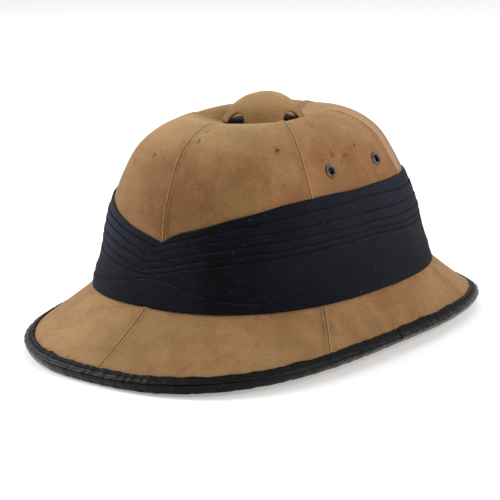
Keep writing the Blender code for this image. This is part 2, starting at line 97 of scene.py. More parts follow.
# Crown outline from inside the dish's rim over its crest and down to its foot, as shares of the rise and
# of the reach at the foot
CROWN_ROWS_COLUMNS = ("height", "ahead", "aside", "behind", "squareness", "puff")
CROWN_ROWS_TABLE = (
    (0.953, 0.353, 0.345, 0.338, 2.20, 0.3),
    (0.988, 0.466, 0.422, 0.440, 2.70, 1.0),
    (0.961, 0.576, 0.517, 0.544, 3.10, 0.9),
    (0.913, 0.657, 0.595, 0.622, 3.15, 0.8),
    (0.843, 0.731, 0.673, 0.695, 3.15, 0.7),
    (0.662, 0.822, 0.786, 0.791, 3.10, 0.5),
    (0.483, 0.879, 0.874, 0.856, 3.00, 0.3),
    (0.315, 0.905, 0.930, 0.891, 2.90, 0.0),
    (0.140, 0.938, 0.952, 0.928, 2.70, 0.0),
    (0.000, 1.000, 1.000, 1.000, 2.45, 0.0),
)
CROWN_ROWS = [dict(zip(CROWN_ROWS_COLUMNS, row)) for row in CROWN_ROWS_TABLE]
# Dish from its flat floor out to the lip, and brim from its root out to its edge
DISH_ROWS = ({"reach": 0.00, "rise": 0.00}, {"reach": 0.45, "rise": 0.45})
BRIM_ROWS = (
    {"reach": 0.00, "fall": 0.00},
    {"reach": 0.50, "fall": 0.53},
    {"reach": 1.00, "fall": 1.00},
)


def oval(aside, ahead, behind, squareness, degrees, centre_y):
    """Points of a rounded oval at sweep angles, as x and y arrays."""
    sine, cosine = np.sin(np.radians(degrees)), np.cos(np.radians(degrees))
    reach = (np.abs(sine) ** squareness + np.abs(cosine) ** squareness) ** (-1 / squareness)
    along = np.where(cosine >= 0, ahead, behind)
    return aside * reach * sine, centre_y - along * reach * cosine


def ring(radius, degrees):
    """Points of a circle about the crown's middle."""
    return oval(radius, radius, radius, 2.0, degrees, CROWN_Y)


def crown_ring(row, degrees, grown=0.0):
    """Points of one of the crown's outline rows."""
    return oval(
        CROWN_HALF_WIDTH * row["aside"] + grown,
        CROWN_FRONT * row["ahead"] + grown,
        CROWN_REAR * row["behind"] + grown,
        row["squareness"],
        degrees,
        CROWN_Y,
    )


def level_points(outline, height):
    """Points of an outline, given as x and y arrays, at a height."""
    return np.stack((*outline, np.broadcast_to(height, outline[0].shape)), -1)


def gore_share(degrees):
    """How far sweep angles lie across their gore, from 0 at one seam to 1 at the next."""
    turned = np.mod(degrees, 360.0)
    bounds = np.array(SEAM_ANGLES + (360.0,))
    index = np.clip(np.searchsorted(bounds, turned, side="right") - 1, 0, len(SEAM_ANGLES) - 1)
    return (turned - bounds[index]) / (bounds[index + 1] - bounds[index])


def edge_height(degrees):
    """Height of the underside of the bound edge."""
    return BRIM_SIDE_LIFT * (1 - np.cos(np.radians(2 * np.asarray(degrees)))) / 2


def body_knots(degrees):
    """The cloth's outer surface as knots from the air hole out to the brim edge: (..., rows, 3)."""
    degrees = np.asarray(degrees, dtype=float)
    bulge = np.maximum(np.sin(math.pi * gore_share(degrees)), 0.0) ** 0.8 * PANEL_PUFF
    floor = CROWN_LIP - DISH_DEPTH
    rise = CROWN_LIP - CROWN_FOOT
    first = CROWN_ROWS[0]
    knots = [level_points(ring(AIR_HOLE_RADIUS, degrees), floor - DISH_DEPTH * DISH_FLOOR_SINK)]
    seat = level_points(ring(CAP_RADIUS + CAP_SEAT_MARGIN, degrees), floor)
    lip = level_points(crown_ring(first, degrees), CROWN_FOOT + rise * first["height"])
    for row in DISH_ROWS:
        reach = row["reach"]
        knots.append(seat + (lip - seat) * (reach, reach, row["rise"]))
        knots[-1][..., 2] += bulge * first["puff"] * reach**2
    for row in CROWN_ROWS:
        puff = bulge * row["puff"]
        outline = crown_ring(row, degrees, puff * (1 - row["height"]))
        knots.append(level_points(outline, CROWN_FOOT + (rise + puff) * row["height"]))
    foot = knots[-1]
    inset = LEATHER + GAP
    length = BRIM_HALF_LENGTH - inset
    edge_x, edge_y = oval(BRIM_HALF_WIDTH - inset, length, length, BRIM_SQUARENESS, degrees, 0.0)
    away_x, away_y = edge_x - foot[..., 0], edge_y - foot[..., 1]
    run = np.hypot(away_x, away_y)
    down = np.full_like(run, -BRIM_ROOT_FALL / BRIM_ROOT_WIDTH)
    root = foot + np.stack((away_x / run, away_y / run, down), -1) * BRIM_ROOT_WIDTH
    last_run = (run - BRIM_ROOT_WIDTH) * (BRIM_ROWS[-1]["reach"] - BRIM_ROWS[-2]["reach"])
    last_fall = (root[..., 2] - edge_height(degrees)) * (BRIM_ROWS[-1]["fall"] - BRIM_ROWS[-2]["fall"])
    slant = np.hypot(last_run, last_fall)
    thick = 2 * LEATHER + 3 * GAP + CLOTH + PITH_AT_EDGE
    edge_z = edge_height(degrees) + (thick - inset) * last_run / slant + inset * last_fall / slant
    edge = np.stack((edge_x, edge_y, edge_z), -1)
    for row in BRIM_ROWS:
        knots.append(root + (edge - root) * (row["reach"], row["reach"], row["fall"]))
    return np.stack(knots, -2)


def lengths_along(points):
    """How far along a line of points each of them is."""
    return np.concatenate(((0.0,), np.cumsum(np.linalg.norm(np.diff(points, axis=0), axis=1))))


ROW_PLACES = lengths_along(body_knots(np.array([45.0]))[0])
LIP_ROW = 2 + len(DISH_ROWS)
FOOT_ROW = LIP_ROW + len(CROWN_ROWS) - 2
LIP_PLACE = ROW_PLACES[LIP_ROW]
FOOT_PLACE = ROW_PLACES[FOOT_ROW]
EDGE_PLACE = ROW_PLACES[-1]


def hermite(t):
    """Weights of the values and then of the slopes at the two ends of a stretch, a share t along it."""
    return 2 * t**3 - 3 * t**2 + 1, 3 * t**2 - 2 * t**3, t**3 - 2 * t**2 + t, t**3 - t**2


def curve_weights(samples):
    """Weights on the knots that give a smooth curve through them, and its slope, at places along it."""
    places, count = ROW_PLACES, len(ROW_PLACES)
    tangent = np.gradient(np.eye(count), places, axis=0)
    segment = np.clip(np.searchsorted(places, samples, side="right") - 1, 0, count - 2)
    width = places[segment + 1] - places[segment]
    t = (samples - places[segment]) / width
    rows = np.arange(len(samples))
    value = np.zeros((len(samples), count))
    before, after, leaving, arriving = hermite(t)
    value[rows, segment] += before
    value[rows, segment + 1] += after
    value += (leaving * width)[:, None] * tangent[segment]
    value += (arriving * width)[:, None] * tangent[segment + 1]
    slope = np.zeros((len(samples), count))
    slope[rows, segment] += (6 * t**2 - 6 * t) / width
    slope[rows, segment + 1] += (6 * t - 6 * t**2) / width
    slope += (3 * t**2 - 4 * t + 1)[:, None] * tangent[segment]
    slope += (3 * t**2 - 2 * t)[:, None] * tangent[segment + 1]
    return value, slope


def skin(degrees, places):
    """Points and outward normals of the cloth on a grid: degrees is (columns, rows), places is (rows,)."""
    value, slope = curve_weights(places)
    knots = body_knots(degrees)
    turn = 0.4
    turned = body_knots(degrees + turn) - body_knots(degrees - turn)
    points = np.einsum("rk,crkx->crx", value, knots)
    along = np.einsum("rk,crkx->crx", slope, knots)
    around = np.einsum("rk,crkx->crx", value, turned)
    normals = np.cross(along, around)
    normals /= np.linalg.norm(normals, axis=-1, keepdims=True)
    return points, normals


def breadth(degrees, places):
    """Metres of cloth per degree of sweep at each place along one seam."""
    value, _ = curve_weights(places)
    turned = body_knots(np.array([degrees + 0.4])) - body_knots(np.array([degrees - 0.4]))
    return np.linalg.norm(np.einsum("rk,kx->rx", value, turned[0]), axis=1) / 0.8


EYELETS = (
    ("left", 1, "front", 77.5),
    ("left", 1, "rear", 109.5),
    ("right", -1, "front", 77.5),
    ("right", -1, "rear", 109.5),
)
EYELET_HEIGHT = 0.1131
EYELET_CUT = 0.0026
EYELET_NEAR = 0.02


def crown_place(degrees, height):
    """Point and normal of the crown's cloth at a sweep angle and a height."""
    places = np.linspace(LIP_PLACE, FOOT_PLACE, 400)
    points, normals = skin(np.full((1, len(places)), degrees), places)
    at = np.argmin(np.abs(points[0, :, 2] - height))
    return points[0, at], normals[0, at], places[at]


# Marks on the cloth, with the height above the floor and the breadth in mm
STAINS_COLUMNS = ("angle", "height", "breadth", "strength")
STAINS_TABLE = (
    (54.0, 130.7, 2.6, 1.0),
    (48.5, 115.5, 1.6, 0.7),
    (55.0, 109.5, 1.7, 0.7),
    (56.0, 117.8, 1.5, 0.55),
    (36.5, 121.4, 1.8, 0.55),
    (26.0, 130.7, 2.0, 0.35),
    (47.5, 127.6, 2.2, 0.4),
    (40.0, 107.0, 1.6, 0.35),
    (8.5, 135.4, 2.6, 0.8),
    (10.0, 140.6, 2.2, 0.7),
    (17.5, 119.0, 2.4, 0.35),
    (-17.5, 125.6, 2.0, 0.8),
    (-10.5, 124.2, 1.6, 0.6),
    (-9.0, 115.6, 2.2, 0.35),
    (-10.0, 100.9, 2.6, 0.4),
    (80.0, 139.2, 2.0, 0.6),
    (75.5, 132.3, 1.8, 0.5),
    (73.0, 129.1, 1.6, 0.5),
    (82.0, 122.4, 3.4, 0.7),
    (89.5, 119.5, 4.2, 0.75),
    (86.0, 116.0, 3.6, 0.45),
    (92.0, 106.6, 2.4, 0.5),
    (90.0, 102.3, 2.4, 0.45),
    (102.0, 132.1, 1.8, 0.75),
    (99.0, 124.5, 1.9, 0.75),
    (105.0, 110.6, 1.8, 0.45),
    (113.5, 122.3, 2.4, 0.4),
    (200.0, 128.0, 4.0, 0.6),
    (236.0, 118.0, 5.0, 0.5),
    (286.0, 124.0, 4.0, 0.6),
    (328.0, 120.0, 4.0, 0.5),
)
STAINS = [dict(zip(STAINS_COLUMNS, row)) for row in STAINS_TABLE]


def noise_at(points, size, seed):
    """Smooth noise, about -1 to 1, at points, with features of a size in metres."""
    flat = points.reshape(-1, 3) / size + seed * 13.7
    found = np.array([noise.fractal(p, 1.0, 2.0, 2) for p in flat])
    return found.reshape(points.shape[:-1])


def round_circle(degrees, radius):
    """Points of a level circle, for noise that joins up with itself."""
    turned = np.radians(degrees)
    return np.stack((np.cos(turned), np.sin(turned), np.zeros(len(turned))), -1) * radius


def bump(x, centre, width):
    """A smooth hump of height 1."""
    return np.exp(-(((x - centre) / width) ** 2))


def ramp(x, start, end):
    """A smooth step from 0 at start to 1 at end."""
    t = np.clip((x - start) / (end - start), 0.0, 1.0)
    return t * t * (3 - 2 * t)


def grid_piece(
    name, points, material, cloth_uv=None, values=None, close_u=False, close_v=False, flip=True, keep=None
):
    """A mesh from a (columns, rows) grid of points, with a UV map in metres and named values."""
    columns, rows = points.shape[:2]
    index = np.arange(columns * rows).reshape(columns, rows)
    if close_u:
        index = np.concatenate((index, index[:1]))
    if close_v:
        index = np.concatenate((index, index[:, :1]), axis=1)
    corners = index[:-1, :-1], index[1:, :-1], index[1:, 1:], index[:-1, 1:]
    quads = np.stack(corners, -1).reshape(-1, 4)
    if flip:
        quads = quads[:, ::-1]
    if keep is not None:
        quads = quads[keep.reshape(-1)[quads].all(axis=1)]
    return mesh_piece(name, points.reshape(-1, 3), quads, material, cloth_uv, values)


def fill(items, key, data, kind):
    """Sets one value of each item from an array."""
    items.foreach_set(key, np.ascontiguousarray(data, dtype=kind).ravel())


def mesh_piece(name, points, quads, material, cloth_uv=None, values=None):
    """A mesh from points and quads."""
    mesh = bpy.data.meshes.new(name)
    mesh.vertices.add(len(points))
    fill(mesh.vertices, "co", points, np.float32)
    mesh.loops.add(quads.size)
    fill(mesh.loops, "vertex_index", quads, np.int32)
    mesh.polygons.add(len(quads))
    fill(mesh.polygons, "loop_start", np.arange(len(quads)) * quads.shape[1], np.int32)
    if cloth_uv is not None:
        layer = mesh.uv_layers.new(name="cloth")
        fill(layer.data, "uv", cloth_uv.reshape(-1, 2)[quads.ravel()], np.float32)
    for key, data in (values or {}).items():
        layer = mesh.attributes.new(key, "FLOAT", "POINT")
        fill(layer.data, "value", data, np.float32)
    mesh.update(calc_edges=True)
    mesh.validate()
    mesh.shade_smooth()
    mesh.materials.append(material)
    piece = bpy.data.objects.new(name, mesh)
    bpy.context.scene.collection.objects.link(piece)
    return piece


class Signal:
    """A value in a material's nodes; its arithmetic adds the nodes that work it out."""

    def __init__(self, shader, socket):
        self.shader, self.socket = shader, socket

    def math(self, operation, *others):
        made = self.shader.tree.nodes.new("ShaderNodeMath")
        made.operation = operation
        for socket, value in zip(made.inputs, (self, *others)):
            self.shader.feed(socket, value)
        return Signal(self.shader, made.outputs[0])

    def __add__(self, other):
        return self.math("ADD", other)

    def __sub__(self, other):
        return self.math("SUBTRACT", other)

    def __rsub__(self, other):
        return self.math("MULTIPLY_ADD", -1.0, other)

    def __mul__(self, other):
        return self.math("MULTIPLY", other)

    def ramp(self, low, high, out_low=0.0, out_high=1.0):
        """A smooth step between two values as this one goes from low to high."""
        made = self.shader.tree.nodes.new("ShaderNodeMapRange")
        made.interpolation_type = "SMOOTHSTEP"
        for socket, value in zip(made.inputs, (self, low, high, out_low, out_high)):
            self.shader.feed(socket, value)
        return Signal(self.shader, made.outputs[0])

    def clamped(self):
        """The same sum, kept from 0 to 1."""
        self.socket.node.use_clamp = True
        return self

    def beside(self, output):
        """Another output of the same node."""
        return Signal(self.shader, self.socket.node.outputs[output])


class Shader:
    """The nodes of one material, whose colour is built up in layers."""

    def __init__(self, name):
        self.material = bpy.data.materials.new(name)
        self.material.use_nodes = True
        self.tree = self.material.node_tree
        self.principled = self.tree.nodes["Principled BSDF"]
        self.places = self.node("ShaderNodeTexCoord", "Object")

    def node(self, kind, output, **inputs):
        made = self.tree.nodes.new(kind)
        for key, value in inputs.items():
            self.feed(made.inputs[key], value)
        return Signal(self, made.outputs[output])

    def feed(self, socket, value):
        if isinstance(value, Signal):
            self.tree.links.new(value.socket, socket)
        else:
            socket.default_value = value

    def vector(self, operation, *parts):
        made = self.tree.nodes.new("ShaderNodeVectorMath")
        made.operation = operation
        for socket, value in zip(made.inputs, parts):
            self.feed(socket, value)
        return Signal(self, made.outputs["Value" if operation == "DISTANCE" else "Vector"])

    def noise(self, scale, detail=3.0, roughness=0.5, distortion=0.0):
        """Noise over the piece; a scale of three numbers differs along each axis."""
        where = self.places
        if isinstance(scale, tuple):
            where, scale = self.node("ShaderNodeMapping", 0, Vector=where, Scale=scale), 1.0
        inputs = {"Scale": scale, "Detail": detail, "Roughness": roughness, "Distortion": distortion}
        return self.node("ShaderNodeTexNoise", "Fac", Vector=where, **inputs)

    def value(self, name):
        """A named value of the mesh."""
        made = self.node("ShaderNodeAttribute", "Fac")
        made.socket.node.attribute_name = name
        return made

    def cloth(self):
        """The UV map along the cloth, in metres, as u and v."""
        made = self.node("ShaderNodeUVMap", 0)
        made.socket.node.uv_map = "cloth"
        split = self.node("ShaderNodeSeparateXYZ", "X", Vector=made)
        return split, split.beside("Y")

    def mix(self, share, a, b, mode="MIX"):
        made = self.tree.nodes.new("ShaderNodeMix")
        made.data_type, made.blend_type = "RGBA", mode
        self.feed(made.inputs[0], share)
        self.feed(made.inputs[6], a)
        self.feed(made.inputs[7], b)
        return Signal(self, made.outputs[2])

    def paint(self, share, a, b):
        """Starts the colour, from a to b by a share."""
        self.colour = self.mix(share, rgb(*a), rgb(*b))

    def tint(self, share, colour):
        """Lays a colour over what is there."""
        self.colour = self.mix(share, self.colour, rgb(*colour))

    def darken(self, share):
        """Multiplies the colour by a share."""
        grey = self.node("ShaderNodeCombineXYZ", 0, X=share, Y=share, Z=share)
        self.colour = self.mix(1.0, self.colour, grey, "MULTIPLY")

    def finish(self, roughness, height, strength, distance, **settings):
        """Joins the colour, roughness and bump to the surface, and sets its other numbers."""
        self.feed(self.principled.inputs["Base Color"], self.colour)
        self.feed(self.principled.inputs["Roughness"], roughness)
        bumps = {"Height": height, "Strength": strength, "Distance": distance}
        self.feed(self.principled.inputs["Normal"], self.node("ShaderNodeBump", 0, **bumps))
        for key, value in settings.items():
            self.principled.inputs[SOCKETS[key]].default_value = value
        return self.material


SOCKETS = {
    "sheen": "Sheen Weight",
    "sheen_roughness": "Sheen Roughness",
    "specular": "Specular IOR Level",
    "metallic": "Metallic",
}


def rgb(red, green, blue):
    """A colour given as 0 to 255 screen values, made linear."""
    linear = []
    for part in (red, green, blue):
        share = part / 255
        linear.append(share / 12.92 if share <= 0.04045 else ((share + 0.055) / 1.055) ** 2.4)
    return (*linear, 1.0)


def sine(value, pitch):
    """A wave that repeats at a pitch."""
    return (value * (TAU / pitch)).math("SINE")


def bell(value, centre, width):
    """1 where a value is at centre, falling smoothly to 0 at width away."""
    return (value - centre).math("ABSOLUTE").ramp(0.0, width, 1.0, 0.0)


def khaki_material():
    """Worn cotton drill: twill, mottled browning with painted light and shade in it, stains, stitch holes,
    grime along the seams, painted highlights on folds and a pale strip, and painted shade under the cap.
    """
    shader = Shader("khaki_drill")
    u, v = shader.cloth()
    weave = (sine(u - v, TWILL_PITCH / 1.4) * 0.6 + sine(u * 0.8 + v, TWILL_PITCH)) * 0.31 + 0.5
    slub = shader.noise((900, 900, 1500), 2.0)
    broad = shader.noise(17.0, 4.0, 0.6)
    patchy = shader.noise(55.0, 5.0, 0.68, 0.4)
    blotch = shader.noise(150.0, 4.0, 0.7)
    fine = shader.noise(620.0, 3.0, 0.7)
    browning_and_shade, seam, stitched = shader.value("browning_and_shade"), shader.value("seam_mm"), shader.value("stitched")

    # Mottling and specks; the browning share also holds painted light and shade, lighter on the upper crown,
    # the brim and the left, darker low on the crown and on the right side gore
    swing = (broad * 0.5 + patchy * 0.5).ramp(0.36, 0.64) * 0.40 - 0.20
    shader.paint((browning_and_shade + swing).clamped(), KHAKI_LIGHT, KHAKI_BROWN)
    shader.tint(shader.noise(24.0).ramp(0.46, 0.66) * 0.28, (132, 112, 66))
    shader.tint(blotch.ramp(0.56, 0.72) * 0.30, (128, 72, 40))
    shader.tint(fine.ramp(0.61, 0.72) * 0.34, (82, 52, 32))
    shader.tint(fine.ramp(0.38, 0.28) * 0.26, (196, 162, 118))

    # Stains with ragged outlines: the stain-and-shade value, which holds grime along the seams and a painted
    # shadow on the brim below the wrap, the places in the table, and small spots between them
    drift = shader.node("ShaderNodeTexNoise", "Color", Vector=shader.places, Scale=380.0, Detail=3.0)
    drift = shader.vector("SUBTRACT", drift, (0.5, 0.5, 0.5))
    drifted = shader.vector("MULTIPLY_ADD", drift, (STAIN_DRIFT, STAIN_DRIFT, STAIN_DRIFT), shader.places)
    marks = []
    for mark in STAINS:
        seat, _, _ = crown_place(mark["angle"], mark["height"] * MM)
        reach = mark["breadth"] * MM
        away = shader.vector("DISTANCE", drifted, tuple(seat))
        marks.append(away.ramp(reach * 0.20, reach * 1.20, mark["strength"], 0.0))
    marked = marks[0]
    for mark in marks[1:]:
        marked = mark.math("MAXIMUM", marked)
    ragged = shader.noise(420.0, 4.0, 0.75) * 1.5 - 0.75
    shader.tint((shader.value("stain_and_shade") + ragged).ramp(0.05, 0.75, 0.0, 0.55), (106, 66, 38))
    shader.tint(marked.ramp(0.10, 0.70, 0.0, 0.55), (110, 62, 36))
    shader.tint((marked + ragged * 0.5).ramp(0.45, 1.05, 0.0, 0.80), (66, 40, 24))
    spot = shader.node("ShaderNodeTexVoronoi", "Distance", Vector=drifted, Scale=105.0)
    chosen = shader.node("ShaderNodeSeparateXYZ", 0, Vector=spot.beside("Color"))
    shader.tint(spot.ramp(0.035, 0.085, 1.0, 0.0) * chosen.ramp(0.50, 0.95) * 0.75, (64, 38, 24))
    # Painted rim light: a pale strip on one gore where it turns away at the skyline
    shader.tint(shader.value("faded"), (198, 162, 130))
    # Painted shadow: a dark line along that seam
    shader.tint(shader.value("lined") * 0.85, (52, 34, 24))

    # Weave
    threads = patchy.ramp(0.30, 0.70, 0.35, 0.80) * browning_and_shade.ramp(0.0, 0.9, 0.45, 1.25)
    shader.darken(1.0 - (0.62 - weave) * threads)
    shader.darken(slub * 0.60 + 0.70)

    # Stitch line and holes, a patchy painted highlight along the fold's edge, and painted shade under the
    # cap
    shader.tint(bell(seam, STITCH_INSET, 0.85) * stitched * 0.42, (88, 58, 36))
    beat = (v * (1 / STITCH_PITCH)).math("FRACT")
    hole = (beat - 0.5).math("ABSOLUTE").ramp(0.18, 0.34) * bell(seam, STITCH_INSET, 0.55) * stitched
    shader.tint(hole * 0.95, (38, 24, 16))
    # Painted highlight along the folded edge, patchy
    shader.tint(bell(seam, 0.6, 0.7) * stitched * blotch.ramp(0.35, 0.60, 0.25, 0.70), (198, 162, 116))
    # Painted shade: near black on the dish under the cap and inside the cap
    shader.tint(shader.value("hollow") * 0.94, (14, 10, 8))
    height = hole * -2.0 + (slub * 0.6 + weave)
    return shader.finish(0.92, height, 0.5, 0.00025, sheen=0.08, sheen_roughness=0.5, specular=0.12)


def navy_material():
    """Dark navy cotton with a fine weave, dust, lint and worn folds, with painted highlights on the folds'
    edges and painted shade in the creases.
    """
    shader = Shader("navy_cotton")
    u, v = shader.cloth()
    weave = sine(v, NAVY_PITCH) * sine(u, NAVY_PITCH) * 0.5 + 0.5
    streak = shader.noise((70, 70, 330), 4.0, 0.6)
    fine = shader.noise(520.0, 3.0, 0.6)
    worn = shader.noise(22.0, 4.0, 0.6) * 0.6 + streak * 0.4
    shader.paint(worn.ramp(0.36, 0.66), NAVY_DARK, NAVY_LIGHT)
    shader.tint(shader.value("dusty"), NAVY_DUSTY)
    # Wear and a painted highlight along the folds' edges
    shader.tint(shader.value("fold") * streak.ramp(0.38, 0.62, 0.0, 0.25), (48, 50, 58))
    # Painted shade in the creases above each fold's edge and under the wrap's foot
    shader.tint(shader.value("crease_shade") * 0.85, (3, 3, 5))
    shader.tint(fine.ramp(0.69, 0.76) * 0.55, (120, 112, 104))
    shader.darken(weave * 0.30 + 0.80)
    shader.darken(fine * 0.8 + 0.6)
    height = fine * 0.6 + weave
    return shader.finish(0.9, height, 0.35, 0.0002, sheen=0.03, sheen_roughness=0.5, specular=0.08)


def leather_material():
    """Black leather: matte wrinkled flap, glossier rolled edge, scuffs, fine grain, and painted shade in the
    stitched groove and under the flap's edge.
    """
    shader = Shader("black_leather")
    grain = shader.node("ShaderNodeTexVoronoi", "Distance", Vector=shader.places, Scale=1500.0)
    crack = shader.noise(260.0, 5.0, 0.65)
    gloss = shader.value("gloss")
    shader.paint(shader.noise(30.0, 4.0, 0.6).ramp(0.35, 0.65), (4, 4, 4), (8, 8, 8))
    shader.tint(shader.noise((140, 140, 500), 5.0, 0.7).ramp(0.62, 0.74) * 0.30, (60, 57, 52))
    shader.tint(crack.ramp(0.66, 0.74) * gloss * 0.5, (120, 96, 72))
    # Painted shade in the stitched groove and under the flap's free edge
    shader.tint(shader.value("groove_shade") * 0.8, (3, 3, 3))
    rough = (gloss * -0.50 + 0.66 + (crack * 0.3 - 0.12)).clamped()
    return shader.finish(rough, crack * 1.2 + grain * 0.5, 0.45, 0.0003, specular=0.12)


def metal_material():
    """Dull grey-bronze metal, darkened and scratched."""
    shader = Shader("dull_bronze")
    tarnish = shader.noise(600.0, 4.0, 0.6)
    scratch = shader.noise((3000, 400, 3000), 3.0, 0.6)
    shader.paint(tarnish.ramp(0.35, 0.65), (70, 64, 58), (112, 104, 94))
    return shader.finish(tarnish * 0.4 + 0.28, scratch, 0.2, 0.0001, metallic=0.85)


def thread_material(name, dark, light):
    """Sewing thread with small twisted strands."""
    shader = Shader(name)
    twist = shader.noise(2500.0, 2.0)
    shader.paint(twist.ramp(0.35, 0.65), dark, light)
    return shader.finish(0.8, twist, 0.3, 0.0001)


def pith_material():
    """Pressed pith under plain buff paper, with fibres and a little grime."""
    shader = Shader("pith_buff")
    fibre = shader.noise((90, 90, 500), 5.0, 0.7)
    shader.paint(shader.noise(18.0, 4.0, 0.6).ramp(0.3, 0.7), (186, 160, 116), (160, 130, 88))
    shader.tint(fibre.ramp(0.58, 0.7) * 0.3, (120, 92, 60))
    return shader.finish(0.9, fibre, 0.35, 0.0004, specular=0.25)


khaki = khaki_material()
navy = navy_material()
leather = leather_material()
metal = metal_material()
pith = pith_material()
tan_thread = thread_material("tan_thread", (150, 112, 70), (196, 160, 110))
dark_thread = thread_material("dark_thread", (12, 12, 12), (36, 35, 33))

EYELET_SEATS = {
    f"eyelet_{side}_{end}": crown_place(sign * angle, EYELET_HEIGHT) for side, sign, end, angle in EYELETS
}


def clear_of_eyelets(points):
    """Which points lie outside the eyelets' holes."""
    keep = np.ones(points.shape[:-1], dtype=bool)
    for seat, normal, _ in EYELET_SEATS.values():
        away = points - seat
        aside = np.linalg.norm(away - (away @ normal)[..., None] * normal, axis=-1)
        keep &= (aside > EYELET_CUT) | (np.linalg.norm(away, axis=-1) > EYELET_NEAR)
    return keep


def dress(piece, node=None):
    """A piece goes with the helmet, and hides the solid that it stands for, if any."""
    if node:
        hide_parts(node)
    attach(piece, "root")


def fold_height(distance, over):
    """Rise of the cloth in mm at a distance in mm from a seam's line."""
    if over:
        rise = 0.80 * ramp(distance, -0.1, 0.45) + 0.12 * bump(distance, 0.8, 0.5)
        rise -= 0.42 * bump(distance, STITCH_INSET, 0.45)
        return rise - 0.80 * ramp(distance, 2.6, 6.0)
    return -0.15 + 0.15 * ramp(distance, 0.0, 1.2)


def gore_pieces():
    """Six cloth gores with folded, stitched seams."""
    places = np.linspace(0.0, EDGE_PLACE, 150)
    near = np.array((-0.6, 0.0, 0.2, 0.45, 0.8, 1.15, 1.45, 1.7, 1.9, 2.1, 2.4, 2.8, 3.4, 4.2, 5.0, 6.0))
    bounds = SEAM_ANGLES + (360.0,)
    flap_place = EDGE_PLACE - BINDING_FLAP
    for number in range(len(SEAM_ANGLES)):
        start, end = bounds[number], bounds[number + 1]
        over_start = SEAM_OVER[start % 360] == 1
        over_end = SEAM_OVER[end % 360] == -1
        from_start = breadth(start, places)
        from_end = breadth(end, places)
        first = near[1:] if over_start else near
        last = near[1:] if over_end else near
        left = start + first[:, None] * MM / from_start
        right = (end - last[:, None] * MM / from_end)[::-1]
        shares = np.linspace(0, 1, 46)[1:-1][:, None]
        middle = left[-1] + (right[0] - left[-1]) * shares
        degrees = np.concatenate((left, middle, right))
        points, normals = skin(degrees, places)
        distance = np.full(degrees.shape, 99.0)
        distance[: len(first)] = first[:, None]
        distance[-len(last) :] = np.minimum(distance[-len(last) :], last[::-1][:, None])
        between = np.minimum((middle - start) * from_start, (end - middle) * from_end)
        distance[len(first) : -len(last)] = between / MM
        halfway = degrees.shape[0] // 2
        stitched = np.zeros(degrees.shape)
        stitched[:halfway] = over_start
        stitched[halfway:] = over_end
        rise = np.zeros(degrees.shape)
        rise[:halfway] = fold_height(distance[:halfway], over_start)
        rise[halfway:] = fold_height(distance[halfway:], over_end)
        rise *= ramp(places, 0.004, 0.016)
        pucker = noise_at(points, 0.009, 3.1) * bump(distance, 2.5, 3.5) * 0.22
        sag = noise_at(points, 0.045, 5.2) * 0.30
        sink = ramp(places, flap_place - 0.0012, flap_place + 0.0002) * 0.5
        points = points + normals * ((rise + pucker + sag - sink) * MM)[..., None]
        grids = (degrees, distance, stitched, points, normals)
        grids = (np.concatenate((part[:1], part, part[-1:])) for part in grids)
        degrees, distance, stitched, points, normals = grids
        points[[0, -1]] -= normals[[0, -1]] * CLOTH * 0.9
        middle_angle = (start + end) / 2
        spread = breadth(middle_angle, places)
        u = (degrees - middle_angle) * spread
        cloth_uv = np.stack((u, np.broadcast_to(places, u.shape)), -1)
        height = points[..., 2]
        on_brim = ramp(places, FOOT_PLACE, FOOT_PLACE + 0.01)
        # Browning mixed with painted light and shade: lighter up the crown, on the brim and round -24
        # degrees, darker round 88 degrees and low on the crown by the wrap's top
        browning_and_shade = 0.62 - 0.50 * ramp(height, 0.118, 0.145) - 0.10 * on_brim
        turned = (degrees + 180) % 360 - 180
        browning_and_shade = browning_and_shade + 0.22 * bump(turned, 88.0, 20.0) - 0.30 * bump(turned, -24.0, 26.0)
        browning_and_shade = browning_and_shade + 0.30 * bump(height, 0.092, 0.026) * ramp(height, 0.05, 0.07)
        faded, lined = np.zeros((2, *u.shape))
        if start == RIM_LIGHT_SEAM:
            # Painted rim light: pale on the upper crown, fading out over 16 degrees from the seam
            faded = 0.40 * ramp(degrees, RIM_LIGHT_SEAM + 16.0, RIM_LIGHT_SEAM + 1.0)
            faded *= ramp(height, 0.095, 0.105)
            # Painted shadow: a dark line along the seam, on this gore's side
            lined[: len(u) // 2] = ramp(distance[: len(u) // 2], 1.7, 0.6)
        stain_and_shade = 0.30 * bump(distance, 3.0, 4.0) * ramp(noise_at(points, 0.02, 9.0), 0.0, 0.3)
        # Painted shadow: a ragged dark band on the brim just outside the wrap's foot
        at_foot = bump(places - FOOT_PLACE, 0.011, 0.007)
        stain_and_shade += 0.38 * at_foot * ramp(noise_at(points, 0.018, 14.0), -0.1, 0.4)
        # Painted shade: the dish floor under the cap is darkened
        from_middle = np.hypot(points[..., 0], points[..., 1] - CROWN_Y)
        hollow = ramp(from_middle, CAP_RADIUS + 0.0002, CAP_RADIUS - 0.0018)
        values = {"browning_and_shade": browning_and_shade, "stain_and_shade": stain_and_shade, "seam_mm": distance, "stitched": stitched}
        values |= {"hollow": hollow, "faded": faded, "lined": lined}
        keep = clear_of_eyelets(points)
        piece = grid_piece(f"gore_{number + 1}", points, khaki, cloth_uv, values, keep=keep)
        dress(piece, f"cover_gore_{number + 1}")


# Along a stitch: share of its length from its middle, and share of its thickness
STITCH_STATIONS = ((-0.5, 0.15), (-0.36, 0.8), (0.0, 1.0), (0.36, 0.8), (0.5, 0.15))
STITCH_SIDES = 5


